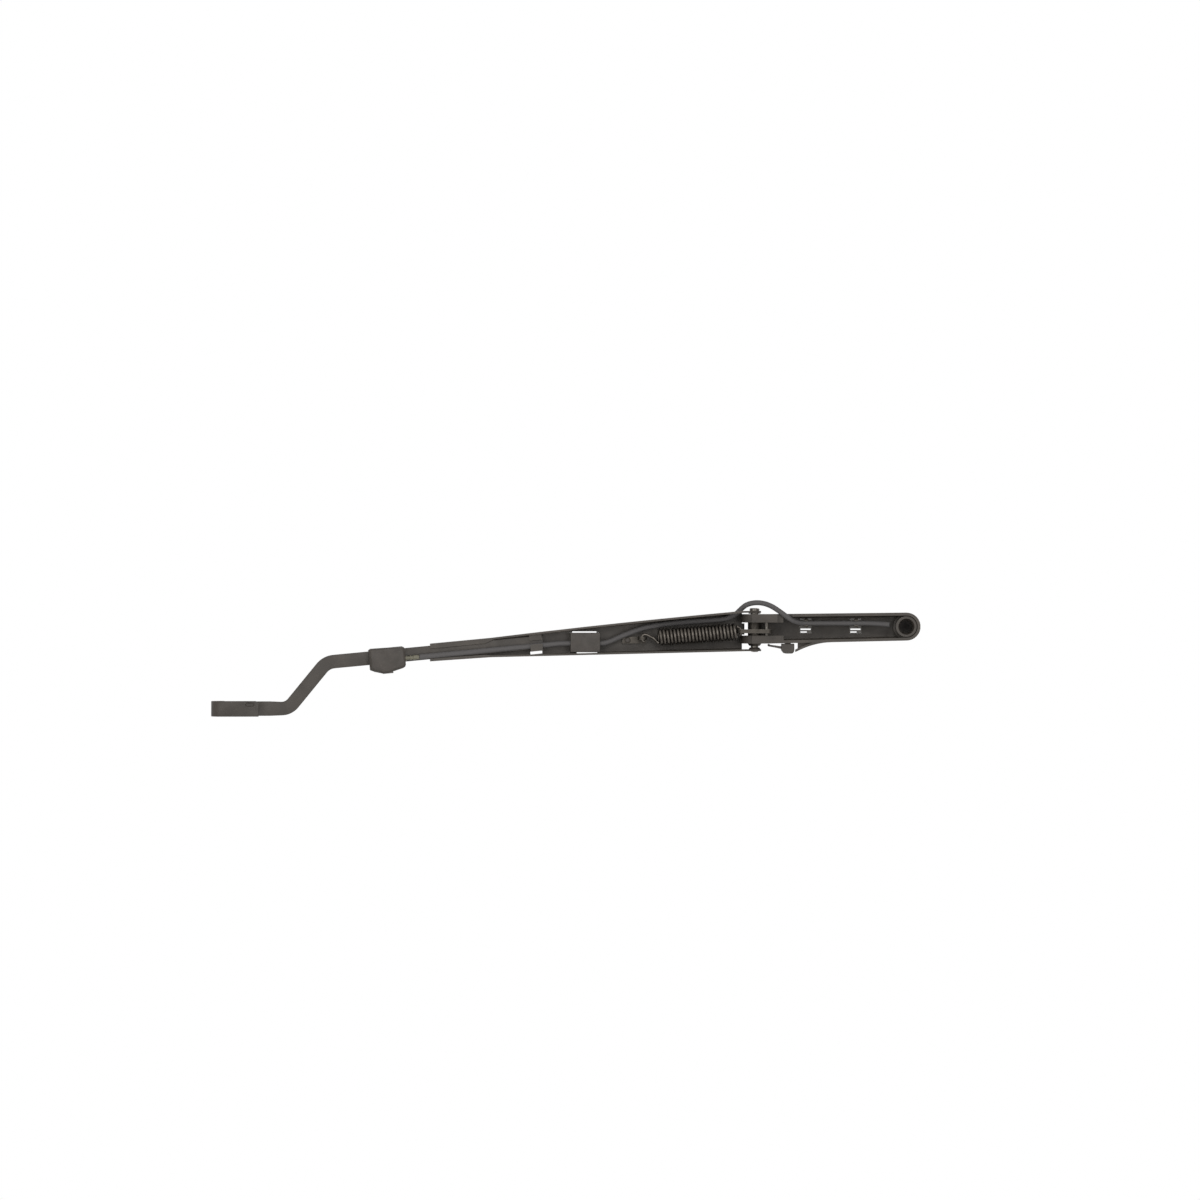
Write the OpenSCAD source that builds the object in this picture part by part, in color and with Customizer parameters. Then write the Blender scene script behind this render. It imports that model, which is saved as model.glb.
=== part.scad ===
// Windscreen wiper arm with a washer jet on the arm.
// The origin lies on the spindle axis, +Z points away from the glass and +X runs to the tip.
// Pieces of the folding arm are drawn flat and then dropped about the hinge pin.

/* [Spindle end] */
// Diameter of the spindle hole at the thread
bore_d = 8.6; // [7:0.1:9.4]
// Length of the straight part of the spindle hole
bore_len = 5; // [4:0.5:6]
// Diameter of the taper socket at its mouth
taper_d = 10.8; // [9.8:0.1:12]
// Depth of the taper socket
taper_len = 6; // [4:0.5:7]
// Diameter of the recess for the spindle nut
nut_recess_d = 15; // [14:0.1:15.4]

/* [Head] */
// Radius of the head's round end
head_end_r = 9.3; // [9:0.1:10]
// Height of the roof's outer face over the nut seat's lower edge
roof_z = 12; // [11:0.5:13]
// Thickness of the roof
roof_t = 2.5; // [2:0.1:3]
// Thickness of the side walls
head_wall = 1.9; // [1.5:0.1:2.2]
// Lowest edge of the side walls at the spindle end
rim_z_end = -8; // [-9:0.5:-7]
// Lowest edge of the side walls at the hinge end
rim_z_front = -9; // [-10:0.5:-8.5]
// Upper side of the head at the hinge, measured across the arm
cheek_y_hi = 8.3; // [8:0.1:8.6]
// Lower side of the head at the hinge, measured across the arm
cheek_y_lo = -11.3; // [-12:0.1:-10.8]
// Upper side of the slot for the spring link
slot_y_hi = 2.7; // [2:0.1:3.5]
// Lower side of the slot for the spring link
slot_y_lo = -6; // [-6.5:0.1:-5.5]
// Outward reach of the curved lip beside the buffer
lip_reach = 6; // [3:0.5:7]

/* [Hinge] */
// Distance from the spindle to the hinge pin
hinge_x = 100.9; // [98:0.1:104]
// Height of the hinge pin
hinge_z = 3; // [2.5:0.1:3.5]
// Diameter of the hinge pin
pin_d = 5.2; // [4.6:0.1:5.6]
// Diameter of the pin's head
pin_head_d = 6.6; // [6.2:0.1:8]
// Height of the pin's head
pin_head_h = 1.9; // [1:0.1:2.5]
// Outer diameter of the hinge bush
bush_d = 9; // [8:0.1:9.4]
// Radius of the head's nose round the hinge pin
nose_r = 9.2; // [8.6:0.1:9.4]
// Radial clearance of the turning fits
run_gap = 0.05; // [0.02:0.01:0.08]
// Angle by which the arm hangs below the head
arm_drop = 4; // [0:0.5:8]

/* [Spring and link] */
// Distance from the hinge pin back to the link pin
link_back = 7.9; // [7.4:0.1:8.4]
// Distance from the hinge pin down to the link pin
link_down = 4.5; // [4.2:0.1:5]
// Diameter of the link pin
link_pin_d = 3.2; // [2.8:0.1:3.4]
// Thickness of the link plate
link_t = 2.5; // [2:0.1:3]
// Width of the link's legs
link_leg = 3.5; // [3:0.1:4]
// Place of the link across the arm
link_y = -3.1; // [-3.4:0.1:-2.8]
// Outer diameter of the spring
spring_d = 11.6; // [10:0.1:12.4]
// Wire diameter of the spring
wire_d = 1.9; // [1.6:0.1:2.1]
// Number of coils
coils = 22.5; // [16:0.5:26]
// Length of the coiled stretch
coil_len = 53; // [50:0.5:54]
// Length of the far hook's shank with its loop
hook_shank = 10.3; // [9.5:0.1:14]
// Place of the far hook across the arm
anchor_y = -7.8; // [-9:0.1:-7]
// Height of the far hook in the flat arm
anchor_z = 2; // [1:0.1:2.6]

/* [Channel] */
// Sheet thickness of the channel
sheet_t = 1.2; // [1:0.1:1.4]
// Height of the channel's outer face
web_z = 10; // [9.5:0.1:10.5]
// Near end of the channel's web
web_x0 = 108.8; // [108.4:0.1:110]
// Far end of the channel
channel_x1 = 317.3; // [310:0.5:322]
// Length of the neck that is folded round the strip
neck_len = 40.3; // [34:0.1:46]
// Upper edge at the web's near end
edge_hi_x0 = 10.4; // [10:0.1:11]
// Upper edge at the kink
edge_hi_kink = -7.5; // [-7.5:0.1:-7]
// Upper edge at the far end
edge_hi_x1 = -11.3; // [-11.4:0.1:-11.1]
// Outward bow of the upper edge
edge_bow = 0.7; // [0:0.1:1]
// Lower edge at the web's near end
edge_lo_x0 = -16.4; // [-17:0.1:-16]
// Lower edge at the kink
edge_lo_kink = -20.4; // [-21:0.1:-20]
// Lower edge at the far end
edge_lo_x1 = -23.1; // [-23.4:0.1:-22.9]
// Lowest edge of the flanges at the hinge
flange_z = -9; // [-9.5:0.1:-8.5]
// Outer bend radius of the channel
bend_r = 2.4; // [1.6:0.1:3]
// Radius of the ears round the pin
ear_r = 4.4; // [4:0.1:5]
// Width of the upper folded lip
lip_w_hi = 3.2; // [2.4:0.1:3.6]
// Width of the lower folded lip
lip_w_lo = 1.9; // [1.4:0.1:2.4]

/* [Strip and hook] */
// Width of the flat strip
strip_w = 9; // [8.6:0.1:9.1]
// Thickness of the flat strip
strip_t = 4; // [3:0.1:4.2]
// Place of the strip's centre line at the channel's far end
strip_y = -17.2; // [-17.3:0.05:-17.1]
// Slant of the strip towards the tip
strip_slant = 5.37; // [5.2:0.01:5.5]
// Length of the strip that lies in the channel beyond the neck
strip_tail = 35; // [32:0.5:40]
// Width of the strip between its lower bend and the hook
hook_w = 9.6; // [9:0.1:10]
// Width of the hook
hook_wide = 10.3; // [9.8:0.1:10.8]
// Centre line of the hook across the arm
hook_y = -54.4; // [-58:0.1:-52]
// Distance from the lower bend to the hook's outer end
hook_reach = 51.4; // [46:0.1:60]
// Clear height inside the hook
hook_gap = 6; // [5:0.1:7]
// Length of the hook's return leg
hook_leg = 31.4; // [24:0.1:34]
// Distance from the jet housing to the upper bend
bend_lead = 28; // [22:0.1:34]
// Run along the arm between the two bends
bend_run = 25.1; // [22:0.1:32]
// Centre-line radius of the upper bend
bend_hi_r = 12; // [10:0.5:14]
// Centre-line radius of the lower bend
bend_lo_r = 10; // [8:0.5:12]

/* [Washer jet and hose] */
// Outer diameter of the washer hose
hose_d = 3.4; // [3:0.1:3.6]
// Distance from the channel's far end to the jet housing
jet_lead = 16.9; // [12:0.1:20]
// Length of the jet housing
jet_len = 24; // [20:0.5:26]
// Place of the hose holder's inner end
holder_x0 = 204.4; // [202:0.1:208]
// Length of the hose holder
holder_len = 19.6; // [16:0.1:20]

/* [Hidden] */
$fn = 48;
// Clearance between pieces that are seated on each other
seat_gap = 0.05;
// Overshoot of a cut beyond the face it opens
over = 1;

kink_x = channel_x1 - neck_len;
strip_x0 = kink_x - strip_tail;
jet_x0 = channel_x1 + jet_lead;
bend_hi_x = jet_x0 + jet_len + bend_lead;
bend_lo_x = bend_hi_x + bend_run;
hook_x = bend_lo_x + hook_reach;

// Linear blend between two values
function mix(a, b, t) = a + (b - a) * t;
// Share of the way from one place to another, kept between 0 and 1
function share(x, x0, x1) = min(1, max(0, (x - x0) / (x1 - x0)));
// Point of the flat arm after the arm has dropped about the hinge pin
function dropped(p) = [
    hinge_x + (p[0] - hinge_x) * cos(arm_drop) + (p[2] - hinge_z) * sin(arm_drop),
    p[1],
    hinge_z - (p[0] - hinge_x) * sin(arm_drop) + (p[2] - hinge_z) * cos(arm_drop)];

module at_arm() {
    translate([hinge_x, 0, hinge_z]) rotate([0, arm_drop, 0])
        translate([-hinge_x, 0, -hinge_z]) children();
}

// Closed solid through rings that all have the same number of points
module skin(rings) {
    n = len(rings[0]);
    m = len(rings);
    points = [for (ring = rings) each ring];
    sides = [for (i = [0:m - 2], j = [0:n - 1])
        [i * n + j, i * n + (j + 1) % n, (i + 1) * n + (j + 1) % n, (i + 1) * n + j]];
    first = [for (j = [0:n - 1]) n - 1 - j];
    last = [for (j = [0:n - 1]) (m - 1) * n + j];
    polyhedron(points = points, faces = concat([first], sides, [last]), convexity = 8);
}

// Ring of an upside-down U with rounded shoulders, standing at x
function arch(x, y_lo, y_hi, z_lo, z_hi, r, n = 6) = concat(
    [[x, y_lo, z_lo]],
    [for (i = [0:n]) [x, y_lo + r - r * cos(90 * i / n), z_hi - r + r * sin(90 * i / n)]],
    [for (i = [0:n]) [x, y_hi - r + r * sin(90 * i / n), z_hi - r + r * cos(90 * i / n)]],
    [[x, y_hi, z_lo]]);

// Tube of small radius along a route that never stands upright
module tube(route, r, sides = 8) {
    last = len(route) - 1;
    skin([for (i = [0:last])
        let (a = route[max(0, i - 1)], b = route[min(last, i + 1)],
            t = (b - a) / norm(b - a),
            s0 = cross(t, [0, 0, 1]),
            s = s0 / norm(s0),
            u = cross(s, t))
        [for (j = [0:sides - 1])
            route[i] + r * (cos(360 * j / sides) * s + sin(360 * j / sides) * u)]]);
}

// Edges of the head as seen from above
head_x1 = hinge_x - nose_r;
function head_hi(x) = mix(head_end_r, cheek_y_hi, share(x, 0, head_x1));
function head_lo(x) = mix(-head_end_r, cheek_y_lo, share(x, 0, head_x1));
function head_rim(x) = mix(rim_z_end, rim_z_front, share(x, 0, head_x1));

// Ring of the head; d insets it from the outer face, low drops its open edge
function head_ring(x, d, top, low, r) =
    let (end_r = head_end_r - d,
        bow = x < 0 ? sqrt(max(0.02, 1 - pow(x / end_r, 2))) : 1)
    arch(x, (head_lo(x) + d) * bow, (head_hi(x) - d) * bow, head_rim(x) - low,
        top - (1 - bow) * 2, min(r, (end_r * bow) * 0.8));

module head_outer() {
    end_steps = [for (a = [8:12:80]) -head_end_r * cos(a)];
    skin([for (x = concat(end_steps, [0, 30, 60, head_x1, hinge_x + nose_r]))
        head_ring(x, 0, roof_z, 0, 3)]);
}

// The head's front is cut to a nose that is round about the hinge pin
module head_side() {
    translate([0, 40, 0]) rotate([90, 0, 0]) linear_extrude(80) {
        translate([-head_end_r - over, rim_z_front - over])
            square([hinge_x + head_end_r + over - 3, roof_z - rim_z_front + 2 * over]);
        translate([hinge_x, hinge_z]) circle(nose_r);
        translate([hinge_x - 6, rim_z_front - over]) square([8, hinge_z - rim_z_front]);
    }
}

tub_x1 = hinge_x - 19;
roof_edge_x = hinge_x - 2.9;
boss_r = taper_d / 2 + 1.6;

module head_hollow() {
    steps = [for (a = [8:12:80]) -(head_end_r - head_wall) * cos(a)];
    skin([for (x = concat(steps, [0, 30, 60, tub_x1]))
        head_ring(x, head_wall, roof_z - roof_t, over, 1.5)]);
}

// Curved lip that guards the buffer, with a thin shelf between it and the side wall
lip_x0 = 50;
lip_x1 = 74;
lip_steps = 8;
lip_t = 1.6;
lip_h = 5;
function lip_y(x) = head_lo(x) - lip_reach * pow(share(x, lip_x0, lip_x1), 2);
module lip_outline(inset) {
    outer = [for (i = [0:lip_steps]) let (x = mix(lip_x0, lip_x1, i / lip_steps)) [x, lip_y(x)]];
    inner = [for (i = [lip_steps:-1:0]) let (x = mix(lip_x0, lip_x1, i / lip_steps))
        [x, min(head_lo(x) + head_wall / 2, lip_y(x) + inset)]];
    polygon(concat(outer, inner));
}
module guard_lip() {
    translate([0, 0, rim_z_front + 0.4]) linear_extrude(lip_h) lip_outline(lip_t);
    translate([0, 0, rim_z_front + 0.4 + lip_h - lip_t]) linear_extrude(lip_t) intersection() {
        lip_outline(lip_reach + head_wall);
        translate([lip_x0, lip_y(lip_x1) - over]) square([lip_x1 - lip_x0 - 1.6, 3 * lip_reach]);
    }
}

link_x = hinge_x - link_back;
link_z = hinge_z - link_down;
buffer_x = 79;
buffer_z = -4;
buffer_stud_r = 2;
notch_x = 81;
notch_w = hose_d + 6.6;
notch_top_z = -4.4;
clip_hose_z = -1;
clip_front_x = 66.6;
clip_rear_x = 33.3;
clip_hose_y = 2.3;
window_len = 8;
window_y0 = -4.4;
window_y1 = 5;

module mounting_head() color("#3b3936") {
    difference() {
        union() {
            difference() {
                intersection() {
                    head_outer();
                    head_side();
                }
                head_hollow();
                translate([tub_x1 - over, slot_y_lo, rim_z_front - over])
                    cube([roof_edge_x - tub_x1 + over, slot_y_hi - slot_y_lo,
                        roof_z - roof_t - rim_z_front + over]);
            }
            translate([0, 0, -taper_len]) cylinder(h = taper_len + roof_z - roof_t + 0.5, r = boss_r);
            translate([0, 0, bore_len - 2.5]) cylinder(h = roof_z - bore_len + 1, r = head_end_r - 0.9);
            guard_lip();
        }
        translate([roof_edge_x, slot_y_lo, rim_z_front - over])
            cube([2 * nose_r, slot_y_hi - slot_y_lo, roof_z - rim_z_front + 2 * over]);
        translate([0, 0, -over]) cylinder(h = bore_len + 2 * over, d = bore_d);
        translate([0, 0, -taper_len]) cylinder(h = taper_len, d1 = taper_d, d2 = bore_d);
        translate([0, 0, -taper_len - over]) cylinder(h = over + 0.001, d = taper_d);
        translate([0, 0, bore_len]) cylinder(h = roof_z, d = nut_recess_d);
        translate([hinge_x, 20, hinge_z]) rotate([90, 0, 0]) cylinder(h = 40, d = bush_d + 2 * seat_gap);
        translate([link_x, cheek_y_hi + over, link_z]) rotate([90, 0, 0])
            cylinder(h = cheek_y_hi - slot_y_lo + over + 3, d = link_pin_d + 2 * seat_gap);
        translate([buffer_x, 0, buffer_z]) rotate([90, 0, 0])
            cylinder(h = 20, r = buffer_stud_r + seat_gap);
        translate([notch_x - notch_w / 2, slot_y_hi - 2, rim_z_front - over])
            cube([notch_w, 20, notch_top_z - rim_z_front + over]);
        for (x = [clip_front_x, clip_rear_x])
            translate([x - window_len / 2, window_y0, roof_z - roof_t - over])
                cube([window_len, window_y1 - window_y0, roof_t + 2 * over]);
    }
}

cap_plug_len = 2.5;
module nut_cap() color("#2b2a28") {
    cap_h = 2.2;
    wall = 1.2;
    difference() {
        union() {
            translate([0, 0, roof_z - cap_plug_len])
                cylinder(h = cap_plug_len + 0.5, d = nut_recess_d - 2 * seat_gap);
            translate([0, 0, roof_z]) rotate_extrude()
                polygon([[0, 0], [head_end_r - 0.4, 0], [head_end_r - 0.4, 0.7],
                    [head_end_r - 1.2, cap_h - 0.5], [head_end_r - 2.6, cap_h], [0, cap_h]]);
        }
        translate([0, 0, roof_z - cap_plug_len - over])
            cylinder(h = cap_plug_len + over + 0.8, d = nut_recess_d - 2 * seat_gap - 2 * wall);
    }
}

bush_out = 1.6;
module hinge_bush() color("#8c8b88") {
    translate([hinge_x, 0, hinge_z]) rotate([90, 0, 0]) rotate_extrude()
        polygon([[pin_d / 2 + run_gap, -cheek_y_hi], [bush_d / 2, -cheek_y_hi],
            [bush_d / 2, -cheek_y_lo + 0.3], [pin_d / 2 + 0.9, -cheek_y_lo + bush_out],
            [pin_d / 2 + run_gap, -cheek_y_lo + bush_out]]);
}

module link_pin() color("#8c8b88") {
    translate([link_x, cheek_y_hi - 0.6, link_z]) rotate([90, 0, 0])
        cylinder(h = cheek_y_hi - slot_y_lo + 1.8, d = link_pin_d);
}

// Hose clip: a foot in the roof's window and a band that is open at one side
module hose_clip(x) color("#35332f") {
    foot_t = roof_t - 0.4;
    band_r = hose_d / 2 + 0.15;
    band_t = 1.1;
    band_z = clip_hose_z;
    translate([x, 0, 0]) {
        difference() {
            translate([-window_len / 2 + seat_gap, window_y0 + seat_gap, roof_z - foot_t - 0.2])
                cube([window_len - 2 * seat_gap, window_y1 - window_y0 - 2 * seat_gap, foot_t]);
            translate([-3.4, -2.3, roof_z - roof_t - over]) cube([6.8, 0.9, roof_t + 2 * over]);
            translate([-0.8, -4.1, roof_z - roof_t - over]) cube([4.2, 0.8, roof_t + 2 * over]);
        }
        difference() {
            union() {
                translate([-1.2, clip_hose_y, band_z]) rotate([0, 90, 0])
                    cylinder(h = 2.4, r = band_r + band_t);
                translate([-1.2, clip_hose_y - 0.9, band_z + band_r + 0.4])
                    cube([2.4, 1.8, roof_z - foot_t - band_z - band_r]);
            }
            translate([-2, clip_hose_y, band_z]) rotate([0, 90, 0]) cylinder(h = 4, r = band_r);
            translate([-2, clip_hose_y - 1.3, band_z - band_r - 3]) cube([4, 2.6, band_r + 3]);
        }
    }
}
module hose_clip_front() hose_clip(clip_front_x);
module hose_clip_rear() hose_clip(clip_rear_x);

module stop_buffer() color("#4a4844") {
    wall_y = head_lo(buffer_x) - 0.35;
    foot_r = 4.35;
    foot_h = 7.2;
    reach = 6.6;
    translate([buffer_x, wall_y, buffer_z]) {
        translate([0, 0, -foot_h / 2]) linear_extrude(foot_h)
            polygon([[-foot_r, 0], [foot_r, 0], [foot_r, -reach + 2.2], [foot_r - 1.4, -reach + 0.4],
                [foot_r - 3, -reach], [-foot_r + 1.5, -reach], [-foot_r + 0.3, -reach + 0.9],
                [-foot_r, -reach + 2.4]]);
        translate([0, 2.6, 0]) rotate([90, 0, 0]) cylinder(h = 3.2, r = buffer_stud_r);
        translate([foot_r - 0.4, -3.6, -1.8]) linear_extrude(3.6)
            polygon([[0, 0], [0, 1.8], [9.4, 3.1], [9.4, 1.9], [4, 0.9]]);
        translate([foot_r + 7.8, -1.6, -1.8]) cube([1.2, 1.4, 3.6]);
    }
}

// The link lies along the line from the link pin to the spring's far hook
wire_r = wire_d / 2;
clear_r = bush_d / 2 + 0.4;
pins_apart = sqrt(link_back * link_back + link_down * link_down);
eye_hole_r = wire_r + 0.7;
eye_r = eye_hole_r + 1.1;
hook_eye_x = pins_apart + clear_r + eye_r - 0.1;
loop_r = 2.6;
coil_x0 = hook_eye_x + loop_r + 0.5;
anchor_x = link_x + coil_x0 + coil_len + hook_shank;
far_hook = dropped([anchor_x, anchor_y, anchor_z]);
line_dx = far_hook[0] - link_x;
line_dz = far_hook[2] - link_z;
line_len = sqrt(line_dx * line_dx + line_dz * line_dz);
line_tilt = -atan2(line_dz, line_dx);
line_turn = atan2(anchor_y - link_y, line_len - hook_eye_x);
fold_turn = 54;

module at_line() {
    translate([link_x, 0, link_z]) rotate([0, line_tilt, 0]) children();
}

// C-shaped plate with a slot that clears the hinge bush over the whole fold
module spring_link() color("#6f6d69") {
    pin_a0 = atan2(link_down, link_back) + line_tilt;
    pin_a1 = pin_a0 - fold_turn;
    pin_eye_r = link_pin_d / 2 + 1.6;
    corner_r = 3;
    bottom_z = pins_apart * sin(pin_a1) - clear_r - link_leg;
    right_x = hook_eye_x + eye_r;
    at_line() translate([0, link_y + link_t / 2, 0]) rotate([90, 0, 0]) linear_extrude(link_t)
        difference() {
            union() {
                circle(pin_eye_r);
                translate([-pin_eye_r, bottom_z + corner_r])
                    square([2 * pin_eye_r, -bottom_z - corner_r]);
                translate([-pin_eye_r + corner_r, bottom_z])
                    square([right_x + pin_eye_r - 2 * corner_r, link_leg + corner_r]);
                translate([-pin_eye_r + corner_r, bottom_z + corner_r]) circle(corner_r);
                translate([right_x - corner_r, bottom_z + corner_r]) circle(corner_r);
                translate([right_x - 2 * eye_r, bottom_z + corner_r])
                    square([2 * eye_r, -bottom_z - corner_r]);
                translate([hook_eye_x, 0]) circle(eye_r);
            }
            circle(link_pin_d / 2 + run_gap);
            for (i = [0:12]) let (a = mix(pin_a0 + 14, pin_a1, i / 12))
                translate([pins_apart * cos(a), pins_apart * sin(a)]) circle(clear_r);
            translate([hook_eye_x, 0]) circle(eye_hole_r);
        }
}

far_loop_r = 2.4;
mean_r = spring_d / 2 - wire_r;
coil_steps = 14;
wire_sides = 6;
module tension_spring() color("#7d7b77") {
    pitch = coil_len / coils;
    total = coils * coil_steps;
    at_line() translate([hook_eye_x, link_y, 0]) rotate([0, 0, line_turn])
        translate([-hook_eye_x, 0, 0]) {
            skin([for (i = [0:total])
                let (a = 360 * i / coil_steps, x = coil_x0 + pitch * i / coil_steps)
                [for (j = [0:wire_sides - 1]) let (b = 360 * j / wire_sides)
                    [x + wire_r * sin(b), (mean_r + wire_r * cos(b)) * cos(a),
                        (mean_r + wire_r * cos(b)) * sin(a)]]]);
            near_hook();
            far_end_hook();
        }
}

// Open loop from the first coil through the link's eye
module near_hook() {
    centre_x = hook_eye_x + loop_r;
    tube(concat(
        [[coil_x0 + 0.7, mean_r, 0], [coil_x0 - 0.4, mean_r - 0.4, 0], [coil_x0 - 0.7, loop_r + 0.6, 0]],
        [for (a = [80:20:240]) [centre_x + loop_r * cos(a), loop_r * sin(a), 0]]), wire_r, wire_sides);
}

// Shank on the spring's axis with a loop through the anchor's eye
module far_end_hook() {
    coil_x1 = coil_x0 + coil_len;
    side = cos(360 * coils);
    centre_x = line_len - far_loop_r;
    tube(concat(
        [[coil_x1 - 0.7, side * mean_r, 0], [coil_x1 + 0.7, side * mean_r * 0.85, 0],
            [coil_x1 + 1.6, side * mean_r * 0.4, 0], [coil_x1 + 2.8, 0, 0],
            [centre_x - far_loop_r - 1, 0, 0]],
        [for (a = [235:20:440]) [centre_x + far_loop_r * cos(a), far_loop_r * sin(a), 0]]),
        wire_r, wire_sides);
}

// Edges of the channel as seen from above, and the open edge of its flanges
neck_rim_z = web_z - 2 * sheet_t - strip_t - seat_gap;
function edge_hi(x) = x > kink_x
    ? mix(edge_hi_kink, edge_hi_x1, share(x, kink_x, channel_x1))
    : let (s = share(x, web_x0, kink_x)) mix(edge_hi_x0, edge_hi_kink, s) + edge_bow * 4 * s * (1 - s);
function edge_lo(x) = x > kink_x
    ? mix(edge_lo_kink, edge_lo_x1, share(x, kink_x, channel_x1))
    : mix(edge_lo_x0, edge_lo_kink, share(x, web_x0, kink_x));
function flange_rim(x) = mix(flange_z, neck_rim_z, share(x, web_x0, kink_x - 4));
neck_inner_r = 0.15;
function bend_at(x) = mix(bend_r, sheet_t + neck_inner_r, share(x, kink_x - 77, kink_x - 22));
channel_stops = [0, 0.1, 0.2, 0.35, 0.5, 0.65, 0.8, 0.9, 1];
channel_xs = concat([for (s = channel_stops) mix(web_x0, kink_x, s)], [channel_x1]);

module at_strip() {
    translate([channel_x1, strip_y, 0]) rotate([0, 0, -strip_slant]) children();
}
function along_strip(x) = (x - channel_x1) / cos(strip_slant);

// Ear of one flange, standing from y over one sheet thickness
module ear(y) {
    translate([0, y + sheet_t, 0]) rotate([90, 0, 0]) linear_extrude(sheet_t) {
        translate([hinge_x, hinge_z]) circle(ear_r);
        polygon([[hinge_x, hinge_z + ear_r], [web_x0 + 1.5, web_z - bend_r],
            [web_x0 + 1.5, flange_z * 0.6], [hinge_x, hinge_z - ear_r]]);
    }
}

hose_slot_x = 113.4;
hose_slot_z = 1.4;
hose_slot_len = 8.4;
saddle_x = strip_x0 + 5;
saddle_len = 8;
rivet_x = anchor_x + 9.5;
rivet_y = -9.1;
rivet_d = 2.5;
holder_y_hi = -4.1;
holder_y_lo = -17.1;
slit_w = 0.9;
hose_r = hose_d / 2;
hose_lie_z = web_z - sheet_t - strip_t - hose_r - 0.1;
collar_out = 1.3;
tongue_len = 1.7;

module arm_channel() color("#34322f") at_arm() {
    difference() {
        union() {
            difference() {
                skin([for (x = channel_xs)
                    arch(x, edge_lo(x), edge_hi(x), flange_rim(x), web_z, bend_at(x))]);
                skin([for (x = concat([web_x0 - over], channel_xs, [channel_x1 + over]))
                    arch(x, edge_lo(x) + sheet_t, edge_hi(x) - sheet_t, flange_rim(x) - over,
                        web_z - sheet_t, bend_at(x) - sheet_t)]);
            }
            ear(edge_hi_x0 - sheet_t);
            ear(edge_lo_x0);
            translate([hinge_x, edge_lo_x0 + sheet_t - 0.1, hinge_z]) rotate([-90, 0, 0])
                cylinder(h = collar_out, r1 = pin_d / 2 + 1.5, r2 = pin_d / 2 + 0.7);
            folded_lips();
            saddle_tabs();
            translate([web_x0 - tongue_len, slot_y_lo + 0.6, web_z - sheet_t])
                cube([tongue_len + over, slot_y_hi - slot_y_lo - 1.2, sheet_t]);
        }
        translate([hinge_x, 40, hinge_z]) rotate([90, 0, 0]) cylinder(h = 80, d = pin_d + 2 * seat_gap);
        for (x = [hose_slot_x - hose_slot_len / 2 + hose_r, hose_slot_x + hose_slot_len / 2 - hose_r])
            translate([x, edge_hi_x0 + 4, hose_slot_z]) rotate([90, 0, 0])
                cylinder(h = 8, r = hose_r + 0.5);
        translate([hose_slot_x - hose_slot_len / 2 + hose_r, edge_hi_x0 - 4, hose_slot_z - hose_r - 0.5])
            cube([hose_slot_len - hose_d, 8, hose_d + 1]);
        translate([holder_x0 - seat_gap, holder_y_lo - seat_gap, web_z - 4])
            cube([holder_len + 2 * seat_gap, holder_y_hi - holder_y_lo + 2 * seat_gap, 8]);
        translate([holder_x0 + 1.8, holder_y_hi, web_z - 4])
            cube([holder_len - 3.4, slit_w, 8]);
        translate([holder_x0 + 1.2, holder_y_lo - slit_w, web_z - 4])
            cube([holder_len - 5.8, slit_w, 8]);
        translate([rivet_x, rivet_y, web_z - 4]) cylinder(h = 8, d = rivet_d + 2 * seat_gap);
        at_strip() translate([along_strip(saddle_x) - saddle_len / 2, -strip_w / 2 - 3.2, web_z - 2])
            cube([saddle_len, 1.9, 4]);
    }
}

// Lips of the neck that are folded in under the strip
module folded_lips() {
    lip_x0 = kink_x - 2;
    translate([0, 0, neck_rim_z]) linear_extrude(sheet_t) {
        polygon([[lip_x0, edge_hi(lip_x0) - 0.4], [channel_x1, edge_hi_x1 - 0.4],
            [channel_x1, edge_hi_x1 - lip_w_hi], [lip_x0 + 6, edge_hi(lip_x0 + 6) - lip_w_hi],
            [lip_x0, edge_hi(lip_x0) - sheet_t]]);
        polygon([[lip_x0, edge_lo(lip_x0) + 0.4], [channel_x1, edge_lo_x1 + 0.4],
            [channel_x1, edge_lo_x1 + lip_w_lo], [lip_x0 + 6, edge_lo(lip_x0 + 6) + lip_w_lo],
            [lip_x0, edge_lo(lip_x0) + sheet_t]]);
    }
}

// Two tabs that hold the strip's inner end: one folded under the hose, one from the flange
module saddle_tabs() {
    under_z = web_z - sheet_t - strip_t - seat_gap;
    at_strip() translate([along_strip(saddle_x) - saddle_len / 2, 0, 0]) {
        translate([0, -strip_w / 2 - seat_gap - sheet_t, under_z - hose_d - 1.4])
            cube([saddle_len, sheet_t, hose_d + 1.4 + strip_t + sheet_t]);
        translate([0, -strip_w / 2 - seat_gap - sheet_t, under_z - hose_d - 1.4])
            cube([saddle_len, 4.6, sheet_t]);
        translate([0, 1.6, under_z - sheet_t]) cube([saddle_len, strip_w / 2 + 0.3, sheet_t]);
    }
}

// Points along an arc
function arc(centre, r, a0, a1, n = 9) =
    [for (i = [0:n]) centre + r * [cos(mix(a0, a1, i / n)), sin(mix(a0, a1, i / n))]];

hook_out_r = hook_gap / 2 + strip_t;
hook_mid_z = web_z - sheet_t - strip_t - hook_gap / 2;
hook_bend_x = hook_x - hook_out_r;
corner_hi = [bend_hi_x, strip_y - tan(strip_slant) * (bend_hi_x - channel_x1)];
corner_lo = [bend_lo_x, hook_y];
fall = atan2(corner_hi[1] - corner_lo[1], corner_lo[0] - corner_hi[0]);
function heading(a) = [cos(a), -sin(a)];

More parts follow.
